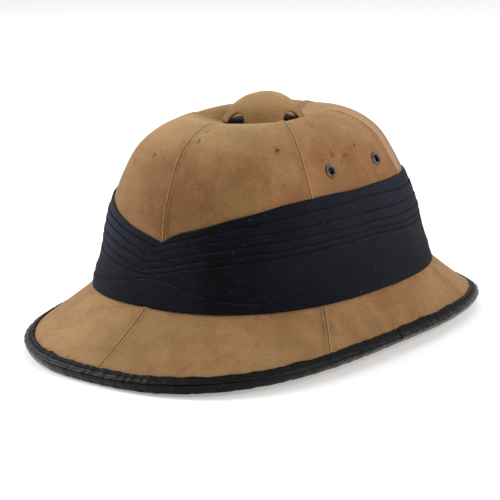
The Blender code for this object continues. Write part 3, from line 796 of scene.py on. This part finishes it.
def stitch_cloud(name, seats, directions, normals, length, thickness, material):
    """Many short stitches as one mesh: each is a small rounded bar that lies in the cloth."""
    share, fat = np.array(STITCH_STATIONS).T[..., None]
    turn = np.arange(STITCH_SIDES) * TAU / STITCH_SIDES
    rise = ((1 - (2 * share) ** 2) + np.cos(turn) * fat) * thickness / 2
    swing = np.sin(turn) * fat * thickness / 2
    seats, along, up = (np.asarray(part)[:, None, None] for part in (seats, directions, normals))
    forward = length * share[..., None]
    points = seats + along * forward + up * rise[..., None] + np.cross(up, along) * swing[..., None]
    index = np.arange(points[..., 0].size).reshape(points.shape[:3])
    after = np.roll(index, -1, axis=2)
    quads = np.stack((index[:, :-1], after[:, :-1], after[:, 1:], index[:, 1:]), -1).reshape(-1, 4)
    return mesh_piece(name, points.reshape(-1, 3), quads, material)


def seam_stitches():
    """Threads along every seam, one dash for each stitch."""
    seats, directions, normals = [], [], []
    for angle, side in SEAM_OVER.items():
        places = (np.arange(12, int((EDGE_PLACE - 0.0085) / STITCH_PITCH)) + 0.5) * STITCH_PITCH
        spread = breadth(angle, places)
        degrees = angle + side * STITCH_INSET * MM / spread
        points, normal = skin(degrees[None, :], places)
        after, _ = skin(degrees[None, :], places + 0.0002)
        along = after[0] - points[0]
        along /= np.linalg.norm(along, axis=1, keepdims=True)
        lift = (fold_height(np.full(len(places), STITCH_INSET), True) * MM)[:, None]
        spots = points[0] + normal[0] * (lift + 0.00012)
        seats.extend(spots)
        directions.extend(along)
        normals.extend(normal[0])
    piece = stitch_cloud("seam_stitches", seats, directions, normals, 0.0011, 0.00042, tan_thread)
    dress(piece)


def body_piece():
    """The pith body, smooth, with its hollow open and its eyelet holes clear."""
    degrees = np.linspace(0, 360, 145)[:-1]
    places = np.linspace(0.0, EDGE_PLACE, 96)
    grid = np.broadcast_to(degrees[:, None], (len(degrees), len(places)))
    points, normals = skin(grid, places)
    thick = PITH + (PITH_AT_EDGE - PITH) * ramp(places, FOOT_PLACE, EDGE_PLACE)
    outer = points - normals * (CLOTH + GAP + 0.0004)
    inner = points - normals * (CLOTH + GAP + thick)[None, :, None]
    ring = np.concatenate((outer, inner[:, ::-1]), axis=1)
    keep = clear_of_eyelets(ring)
    piece = grid_piece("body", ring, pith, close_u=True, close_v=True, keep=keep)
    dress(piece, "pith_body")


# Columns: degrees to the right, negative to the left, from where each line turns at the front, then heights
# above the floor in mm of the wrap's top edge, of its five folds and of its lower turn's upper edge
WRAP_LINES = (
    (-180, 99.0, 91.5, 84.0, 77.0, 71.0, 65.5, 41.0),
    (-90, 99.8, 92.5, 85.0, 78.0, 71.5, 65.0, 41.0),
    (-56, 98.8, 91.5, 84.5, 78.0, 71.5, 64.5, 42.0),
    (-38, 93.4, 87.3, 80.8, 75.0, 69.3, 61.8, 43.8),
    (-28, 87.5, 83.0, 77.8, 71.8, 66.3, 60.0, 45.8),
    (-16, 81.1, 77.6, 72.5, 67.4, 62.0, 57.0, 48.4),
    (-6, 77.0, 73.6, 68.0, 63.4, 58.6, 55.4, 51.6),
    (0, 74.7, 71.3, 65.6, 61.2, 57.2, 55.0, 53.8),
    (8, 80.7, 75.0, 69.6, 63.8, 59.4, 56.6, 53.0),
    (20, 86.4, 79.7, 75.0, 69.0, 63.8, 60.8, 49.3),
    (32, 92.2, 84.9, 79.6, 73.4, 68.2, 64.8, 44.9),
    (44, 96.7, 89.1, 82.8, 77.0, 71.6, 67.9, 42.8),
    (56, 99.9, 91.9, 84.6, 78.9, 73.4, 69.9, 41.6),
    (68, 100.5, 92.9, 84.8, 79.3, 74.0, 70.4, 41.0),
    (90, 99.7, 93.0, 84.4, 78.4, 74.0, 70.3, 41.0),
    (120, 99.8, 91.4, 83.0, 76.6, 71.2, 67.6, 41.0),
    (180, 99.0, 91.5, 84.0, 77.0, 71.0, 65.5, 41.0),
)
WRAP_TURNS = (0.0, -2.5, -3.5, -5.0, -6.0, -4.0, -1.0)
WRAP_STAND = 0.0015
WRAP_STEP = 0.00062
WRAP_BELLY = 0.0550
WRAP_FOOT = 0.0382
WRAP_FOOT_OUT = 0.0080


def smooth_table(places, values, wanted):
    """A smooth curve through the points of a table, without overshoot, at the wanted places."""
    places, values = np.asarray(places, dtype=float), np.asarray(values, dtype=float)
    width = np.diff(places)
    step = np.diff(values) / width
    slope = np.concatenate((step[:1], np.zeros(len(values) - 2), step[-1:]))
    together = step[:-1] * step[1:] > 0
    slope[1:-1][together] = (2 * step[:-1] * step[1:] / (step[:-1] + step[1:] + 1e-12))[together]
    index = np.clip(np.searchsorted(places, wanted, side="right") - 1, 0, len(width) - 1)
    t = (wanted - places[index]) / width[index]
    before, after, leaving, arriving = hermite(t)
    found = before * values[index] + after * values[index + 1]
    return found + (leaving * slope[index] + arriving * slope[index + 1]) * width[index]


def wrap_lines(degrees):
    """Heights of the wrap's top edge and folds at sweep angles, from the top down, in metres."""
    turned = (np.asarray(degrees, dtype=float) + 180) % 360 - 180
    angles = np.array([row[0] for row in WRAP_LINES], dtype=float)
    middle = list(angles).index(0.0)
    found = []
    for line, turn in enumerate(WRAP_TURNS):
        heights = np.array([row[line + 1] for row in WRAP_LINES])
        away = np.clip(turned - turn, -180, 180)
        left = smooth_table(angles[: middle + 1], heights[: middle + 1], np.minimum(away, 0))
        right = smooth_table(angles[middle:], heights[middle:], np.maximum(away, 0))
        found.append(np.where(away < 0, left, right) * MM)
    return np.stack(found, 1)


def outward(degrees):
    """Level directions away from the crown."""
    before = crown_ring(CROWN_ROWS[-1], degrees - 0.5)
    after = crown_ring(CROWN_ROWS[-1], degrees + 0.5)
    away = np.stack((after[1] - before[1], before[0] - after[0], np.zeros_like(before[0])), -1)
    return away / np.linalg.norm(away, axis=-1, keepdims=True)


def crown_under(degrees, heights):
    """Points of the crown's cloth at heights, one row of heights for each sweep angle."""
    places = np.linspace(LIP_PLACE, FOOT_PLACE + 0.004, 300)
    grid = np.broadcast_to(np.asarray(degrees)[:, None], (len(degrees), len(places)))
    points, _ = skin(grid, places)
    found = np.zeros((*heights.shape, 3))
    for column in range(len(degrees)):
        level = points[column, ::-1, 2]
        for axis in range(3):
            found[column, :, axis] = np.interp(heights[column], level, points[column, ::-1, axis])
    return found


# Round each fold's edge: mm above the fold's line, how far out between the two layers, wear with a painted
# highlight, and painted shade
FOLD_ROWS = (
    (1.20, 0.00, 0.0, 0.0),
    (0.50, -0.25, 0.0, 0.7),
    (0.16, 0.05, 0.0, 1.0),
    (0.02, 0.62, 0.6, 0.3),
    (-0.16, 0.95, 1.0, 0.0),
    (-0.60, 1.08, 0.5, 0.0),
    (-1.30, 1.00, 0.0, 0.0),
)


# Round the wrap's top edge: mm above its line, share of the way out to its face, wear with a painted
# highlight
WRAP_TOP = ((-0.05, 0.15, 0.1), (0.0, 0.5, 0.3), (-0.12, 0.85, 0.4), (-0.5, 1.0, 0.25), (-1.2, 1.0, 0.0))


def wrap_piece():
    """The pleated wrap: fold over fold, each lower one standing a little further out."""
    columns = 900
    degrees = np.arange(columns) * 360.0 / columns
    turned = (degrees + 180) % 360 - 180
    circle = round_circle(degrees, 0.10)
    lines = wrap_lines(degrees)
    folds = lines.shape[1]
    for fold in range(1, folds):
        lines[:, fold] += noise_at(circle, 0.028, fold + 1.0) * 0.0006
    lines[:, 0] += noise_at(circle, 0.020, 21.0) * 0.00025
    steps = np.full((columns, folds), WRAP_STEP)
    for fold in range(1, folds):
        steps[:, fold] *= 1 + 0.35 * noise_at(circle, 0.035, fold + 31.0)
    steps[:, 0] = 0.0
    steps[:, -1] *= 1.1 * ramp(np.abs(turned), 62.0, 44.0)
    stand = np.full(columns, WRAP_STAND)
    rows = []

    def add(height, out, rub_and_highlight=0.0, dark=0.0):
        rows.append(np.broadcast_arrays(height, out, rub_and_highlight, dark))

    for rise, out, rub_and_highlight in WRAP_TOP:
        add(lines[:, 0] + rise * MM, GAP + (stand - GAP) * out, rub_and_highlight)
    for fold in range(1, folds):
        room = np.minimum(lines[:, fold - 1] - lines[:, fold], 0.004)
        if fold + 1 < folds:
            room = np.minimum(room, lines[:, fold] - lines[:, fold + 1])
        tight = np.clip(room / 0.0030, 0.12, 1.0)
        upper = lines[:, fold] + FOLD_ROWS[0][0] * MM * tight
        last = rows[-1][0]
        for share in (0.25, 0.5, 0.75):
            add(last + (upper - last) * share, stand + 0.0001)
        strength = np.clip(steps[:, fold] / WRAP_STEP, 0, 1)
        for rise, out, rub_and_highlight, dark in FOLD_ROWS:
            height = lines[:, fold] + rise * MM * tight
            add(height, stand + steps[:, fold] * out, rub_and_highlight * strength, dark * strength)
        stand = stand + steps[:, fold]
    last = rows[-1][0]
    spots = 14
    for spot in range(1, spots + 1):
        add(last + (WRAP_FOOT - last) * spot / spots, stand)
    heights, stands, wear_and_highlight, shade = np.array(rows).transpose(1, 2, 0)
    away = outward(degrees)[:, None, :]
    foot = body_knots(degrees)[:, FOOT_ROW]
    base = crown_under(degrees, np.maximum(heights, WRAP_BELLY))
    low = crown_under(degrees, np.full((columns, 1), WRAP_BELLY))[:, 0]
    base_foot = foot + away[:, 0] * (WRAP_FOOT_OUT - stand[:, None])
    base_foot[:, 2] = WRAP_FOOT
    share = np.clip((WRAP_BELLY - heights) / (WRAP_BELLY - WRAP_FOOT), 0, 1)
    below = low[:, None] + (base_foot - low)[:, None] * share[..., None]
    base = np.where((heights < WRAP_BELLY)[..., None], below, base)
    belly = 0.0010 * np.sin(np.clip((0.066 - heights) / (0.066 - WRAP_FOOT), 0, 1) * math.pi)
    plain = ramp(heights, 0.064, 0.056)
    stretched = np.concatenate((base[..., :2] * 0.45, base[..., 2:] * 2.4 + base[..., :1] * 0.5), -1)
    wrinkle = noise_at(stretched, 0.020, 4.0) * plain * ramp(heights, WRAP_FOOT, WRAP_FOOT + 0.004)
    ripple = noise_at(base * np.array((1.0, 1.0, 3.0)), 0.026, 8.0)
    face = base + away * (stands + belly + wrinkle * 0.0008 + ripple * 0.00022)[..., None]
    under = []
    for out, rise in ((0.00015, -0.0006), (0.0, -0.0011), (-0.0006, -0.00115), (-0.0016, -0.0004)):
        point = face[:, -1] + away[:, 0] * out
        point[:, 2] = WRAP_FOOT + rise
        under.append(point[:, None])
    grid = np.concatenate([face] + under, axis=1)
    # Wear and a painted highlight on the rounded edge below the foot
    wear_and_highlight = np.concatenate((wear_and_highlight, np.full((columns, 1), 0.25), np.zeros((columns, 3))), axis=1)
    # Painted shade beneath the wrap's foot
    shade = np.concatenate((shade, np.zeros((columns, 2)), np.full((columns, 2), 0.6)), axis=1)
    around = lengths_along(grid[:, 20])
    u = np.broadcast_to(around[:, None], grid.shape[:2])
    dusty = 0.55 * bump(turned, -34.0, 26.0) + 0.12 * bump(turned, 100.0, 40.0)
    dusty += 0.3 * bump(np.abs(turned), 180.0, 70.0)
    dusty = dusty[:, None] * (0.35 + 0.65 * ramp(grid[..., 2], 0.050, 0.075))
    values = {"fold": wear_and_highlight, "crease_shade": shade, "dusty": dusty}
    piece = grid_piece("wrap", grid, navy, np.stack((u, grid[..., 2]), -1), values, close_u=True, flip=False)
    dress(piece, "pleated_wrap")


def binding_frames(degrees):
    """At the brim edge: the edge point, the direction in over the brim, and the cloth's normal."""
    places = np.array((EDGE_PLACE - 0.006, EDGE_PLACE))
    grid = np.broadcast_to(np.asarray(degrees)[:, None], (len(degrees), 2))
    points, normals = skin(grid, places)
    edge = points[:, 1]
    inward = points[:, 0] - edge
    inward /= np.linalg.norm(inward, axis=1, keepdims=True)
    normal = normals[:, 1]
    normal = normal - inward * np.sum(normal * inward, axis=1, keepdims=True)
    normal /= np.linalg.norm(normal, axis=1, keepdims=True)
    return edge, inward, normal


# The leather above the brim, from the flap's free edge out, and beneath it, from the roll in: share of the
# flap's breadth, share of the leather's thickness, and above also gloss and painted shade in the grooves
BINDING_FLAP_ROWS = (
    (1.00, -0.35, 0.0, 0.8),
    (1.01, 0.40, 0.1, 0.2),
    (0.97, 0.85, 0.25, 0.0),
    (0.90, 1.05, 0.2, 0.0),
    (0.80, 1.10, 0.15, 0.0),
    (0.70, 1.02, 0.1, 0.1),
    (0.62, 0.85, 0.1, 0.5),
    (0.56, 0.70, 0.1, 1.0),
    (0.50, 0.85, 0.2, 0.5),
    (0.42, 1.10, 0.3, 0.0),
    (0.34, 1.12, 0.4, 0.0),
    (0.26, 0.98, 0.5, 0.25),
    (0.20, 0.90, 0.6, 0.35),
    (0.12, 1.02, 0.8, 0.0),
    (0.04, 1.12, 0.9, 0.0),
)
BINDING_UNDER = ((0.02, 1.05), (0.2, 1.0), (0.45, 1.0), (0.7, 1.0), (0.92, 0.95), (1.0, 0.6), (1.0, -0.2))


def binding_piece():
    """Leather folded over the brim edge: a stitched flap above, a rolled edge, and a flap beneath."""
    columns = 1400
    half_gap = math.degrees(0.0004 / BRIM_HALF_WIDTH)
    degrees = np.linspace(BINDING_JOIN_ANGLE + half_gap, BINDING_JOIN_ANGLE + 360 - half_gap, columns)
    edge, inward, normal = binding_frames(degrees)
    circle = round_circle(degrees, 0.15)
    wander = noise_at(circle, 0.014, 2.0) * 0.0008 + noise_at(circle, 0.005, 6.0) * 0.0004
    body = CLOTH + GAP + PITH_AT_EDGE
    middle = GAP - body / 2 - GAP / 2
    half = body / 2 + GAP + LEATHER
    section = []
    flap = BINDING_FLAP
    for reach, rise, gloss, groove_shade in BINDING_FLAP_ROWS:
        section.append((reach * flap, rise * LEATHER, gloss, groove_shade, 1.0 if reach > 0.9 else 0.3))
    steps = 19
    for step in range(1, steps):
        turn = math.pi * step / steps
        level = math.cos(turn)
        fullness = 2 / 2.3 if level > 0 else 2 / 3.6
        out = -math.sin(turn) ** fullness * (GAP + LEATHER + 0.0006)
        up = middle + math.copysign(abs(level) ** fullness, level) * half
        section.append((out, up, 1.0, 0.0, 0.0))
    for reach, rise in BINDING_UNDER:
        section.append((reach * flap, -body - GAP - rise * LEATHER, 0.4, 0.0, 0.0))
    reach, rise, gloss, groove_shade, loose = np.array(section).T
    along = reach + wander[:, None] * loose
    points = edge[:, None] + inward[:, None] * along[..., None] + normal[:, None] * rise[:, None]
    outward_normal = np.zeros_like(points)
    outward_normal[:, 1:-1] = np.cross(
        points[:, 2:] - points[:, :-2], np.gradient(points, axis=0)[:, 1:-1]
    )
    outward_normal /= np.maximum(np.linalg.norm(outward_normal, axis=-1, keepdims=True), 1e-12)
    creases = noise_at(circle, 0.0035, 11.0)[:, None] * 0.00018
    lumps = noise_at(points, 0.006, 12.0) * 0.00028
    on_flap = np.arange(len(section)) < 13
    relief = lumps + creases * np.where(on_flap, 1.6, 0.6)
    sign = np.sign(np.sum(outward_normal[:, 5] * normal, axis=-1)).mean()
    points = points + outward_normal * relief[..., None] * (1 if sign >= 0 else -1)
    length = lengths_along(edge)
    values = {"gloss": np.broadcast_to(gloss, along.shape), "groove_shade": np.broadcast_to(groove_shade, along.shape)}
    piece = grid_piece("binding", points, leather, values=values)
    dress(piece, "edge_binding")
    wanted = np.linspace(0.004, length[-1] - 0.004, int(length[-1] / BINDING_STITCH_PITCH))
    angles = np.interp(wanted, length, degrees)
    seat, into, up_there = binding_frames(angles)
    shift, _, _ = binding_frames(angles + 0.05)
    direction = shift - seat
    direction /= np.linalg.norm(direction, axis=1, keepdims=True)
    seats = seat + into * flap * 0.56 + up_there * LEATHER * 0.85
    threads = stitch_cloud("binding_stitches", seats, direction, up_there, 0.0012, 0.00045, dark_thread)
    dress(threads)


def cap_piece():
    """The ventilator cap: a cloth-covered dome on four legs, with a rolled edge round each arch."""
    radius, height = CAP_RADIUS, 0.0186
    arch_height, arch_half, leg_angle, roll = 0.0068, 16.5, 39.0, 0.0009
    base = CROWN_LIP - DISH_DEPTH + 0.0006
    ball = (radius**2 + height**2) / (2 * height)
    columns = 288
    degrees = np.arange(columns) * 360.0 / columns + leg_angle
    from_arch = 45 - np.abs((degrees - leg_angle + 45) % 90 - 45)
    inside = np.clip(1 - (from_arch / arch_half) ** 2, 0, 1)
    low = arch_height * np.sqrt(inside) ** 0.9
    sine, cosine = np.sin(np.radians(degrees)), np.cos(np.radians(degrees))

    def shell(rise, shrink):
        level = rise - (height - ball)
        reach = np.sqrt(np.maximum((ball - shrink) ** 2 - level**2, 0.0))
        return np.stack((reach * sine, CROWN_Y - reach * cosine, base + rise), -1)

    rows = []
    thick = 0.0019
    shares = 1 - (1 - np.linspace(0, 1, 34)) ** 1.6
    for share in shares[::-1]:
        rows.append(shell(low + roll + (height - low - roll) * share, 0.0))
    for turn in (30, 60, 90, 120, 150):
        angle = math.radians(turn)
        rows.append(shell(low + roll * (1 - math.sin(angle)), thick * (1 - math.cos(angle)) / 2))
    for share in shares:
        rows.append(shell(low + roll + (height - thick - low - roll) * share, thick))
    grid = np.stack(rows, 1)
    lean = CAP_LEAN * ((grid[..., 2] - base) / height) ** 2
    grid[..., 0] += lean * math.cos(math.radians(leg_angle))
    grid[..., 1] += lean * math.sin(math.radians(leg_angle))
    lumps = noise_at(grid, 0.008, 20.0) * 0.00022
    middle = np.array((0.0, CROWN_Y, base - 0.01))
    direction = grid - middle
    direction /= np.linalg.norm(direction, axis=-1, keepdims=True)
    grid = grid + direction * lumps[..., None]
    u, v = grid[..., 0], grid[..., 1] + grid[..., 2]
    # Browning mixed with painted shade, darker towards the cap's foot; the stain-and-shade value darkens it
    # just above the arches
    browning_and_shade = 0.05 + 0.45 * ramp(grid[..., 2], base + 0.016, base + 0.004)
    hem = np.clip((0.0030 - (grid[..., 2] - base - low[:, None])) / 0.0030, 0, 1)
    # Painted shade: the cap's inner rows are near black
    hollow = np.zeros(grid.shape[:2])
    hollow[:, len(shares) + 3 :] = 1.0
    far = np.full(grid.shape[:2], 50.0)
    values = {"browning_and_shade": browning_and_shade, "stain_and_shade": 0.45 * hem, "hollow": hollow, "seam_mm": far, "stitched": far * 0}
    piece = grid_piece("cap", grid, khaki, np.stack((u, v), -1), values, close_u=True)
    dress(piece, "ventilator_cap")


def eyelet_pieces():
    """Rolled metal eyelets, with a tube through the wall and a washer inside."""
    bore, tube, outer = 0.0025, 0.0031, 0.0047
    through = CLOTH + PITH + GAP
    profile = [(bore, -through - 0.0008), (bore, 0.0002)]
    for turn in np.linspace(0, 180, 13):
        angle = math.radians(180 - turn)
        centre = (bore + outer) / 2
        profile.append((centre + math.cos(angle) * (outer - bore) / 2, 0.0003 + math.sin(angle) * MM))
    profile += [(outer - 0.0003, 0.0), (tube, 0.0), (tube, -through)]
    profile += [(outer, -through), (outer, -through - 0.0005)]
    radius, rise = np.array(profile).T
    angle = np.linspace(0, TAU, 49)[:-1, None]
    rise = np.broadcast_to(rise, (len(angle), len(profile)))
    turned_profile = np.stack((radius * np.cos(angle), radius * np.sin(angle), rise), -1)
    for name, (seat, normal, _) in EYELET_SEATS.items():
        turn = np.array(Vector(normal).to_track_quat("Z", "Y").to_matrix())
        points = seat + turned_profile @ turn.T
        label = name.replace("eyelet", "grommet")
        piece = grid_piece(label, points, metal, close_u=True, close_v=True)
        dress(piece, name)


# The photograph's camera, by its angles in degrees, and its focal length and middle in pixels of 500
CAMERA = {"azimuth": 39.07, "elevation": 12.49, "roll": -1.57, "distance": 1.13555, "focal": 1679.0}
CAMERA_TARGET = (0.0, 0.0099, 0.07169)
CAMERA_MIDDLE = (16.47, -33.83)
PICTURE = 500.0
LAMPS = (
    {"name": "key", "place": (-1.7, -0.6, 1.3), "size": 1.0, "power": 34.0},
    {"name": "side", "place": (1.9, 0.3, 1.0), "size": 1.2, "power": 26.0},
    {"name": "top", "place": (0.2, 0.5, 1.9), "size": 1.4, "power": 8.0},
)


def camera_turn():
    """How the camera is turned, by its azimuth, elevation and roll."""
    turn = Matrix.Rotation(math.radians(CAMERA["azimuth"]), 4, "Z")
    turn = turn @ Matrix.Rotation(math.radians(90 - CAMERA["elevation"]), 4, "X")
    return turn @ Matrix.Rotation(math.radians(CAMERA["roll"]), 4, "Z")


def studio():
    """White floor, white light all round that is weaker behind the camera, and three soft lamps."""
    bpy.context.scene.view_settings.view_transform = "Standard"
    white = bpy.data.materials.new("studio_white")
    white.use_nodes = True
    shader = white.node_tree.nodes["Principled BSDF"]
    shader.inputs["Base Color"].default_value = (0.92, 0.92, 0.92, 1)
    shader.inputs["Roughness"].default_value = 0.9
    shader.inputs["Emission Color"].default_value = (1, 1, 1, 1)
    shader.inputs["Emission Strength"].default_value = 0.30
    mesh = bpy.data.meshes.new("floor")
    mesh.from_pydata([(-6, -6, 0), (6, -6, 0), (6, 6, 0), (-6, 6, 0)], [], [(0, 1, 2, 3)])
    mesh.materials.append(white)
    floor = bpy.data.objects.new("floor", mesh)
    bpy.context.scene.collection.objects.link(floor)
    world = bpy.data.worlds.new("studio")
    bpy.context.scene.world = world
    world.use_nodes = True
    nodes, links = world.node_tree.nodes, world.node_tree.links
    forward = camera_turn() @ Vector((0, 0, -1))
    facing = nodes.new("ShaderNodeVectorMath")
    facing.operation = "DOT_PRODUCT"
    facing.inputs[1].default_value = forward
    links.new(nodes.new("ShaderNodeTexCoord").outputs["Generated"], facing.inputs[0])
    strength = nodes.new("ShaderNodeMapRange")
    strength.interpolation_type = "SMOOTHSTEP"
    for socket, value in zip(list(strength.inputs)[1:], (-0.3, 0.6, 0.22, 1.05)):
        socket.default_value = value
    links.new(facing.outputs["Value"], strength.inputs[0])
    background = nodes["Background"]
    background.inputs["Color"].default_value = (1, 1, 1, 1)
    links.new(strength.outputs[0], background.inputs["Strength"])
    for row in LAMPS:
        data = bpy.data.lights.new(row["name"], "AREA")
        data.energy, data.size = row["power"], row["size"]
        lamp = bpy.data.objects.new(row["name"], data)
        lamp.location = row["place"]
        aim = Vector((0, 0, 0.08)) - Vector(row["place"])
        lamp.rotation_euler = aim.to_track_quat("-Z", "Y").to_euler()
        bpy.context.scene.collection.objects.link(lamp)


def camera():
    """The photograph's camera."""
    data = bpy.data.cameras.new("camera")
    data.sensor_width, data.lens = 36.0, CAMERA["focal"] * 36.0 / PICTURE
    data.shift_x, data.shift_y = -CAMERA_MIDDLE[0] / PICTURE, CAMERA_MIDDLE[1] / PICTURE
    data.clip_start, data.clip_end = 0.01, 50.0
    eye = bpy.data.objects.new("camera", data)
    back = Matrix.Translation((0, 0, CAMERA["distance"]))
    eye.matrix_world = Matrix.Translation(CAMERA_TARGET) @ camera_turn() @ back
    bpy.context.scene.collection.objects.link(eye)
    bpy.context.scene.camera = eye


studio()
camera()
body_piece()
gore_pieces()
seam_stitches()
wrap_piece()
binding_piece()
cap_piece()
eyelet_pieces()
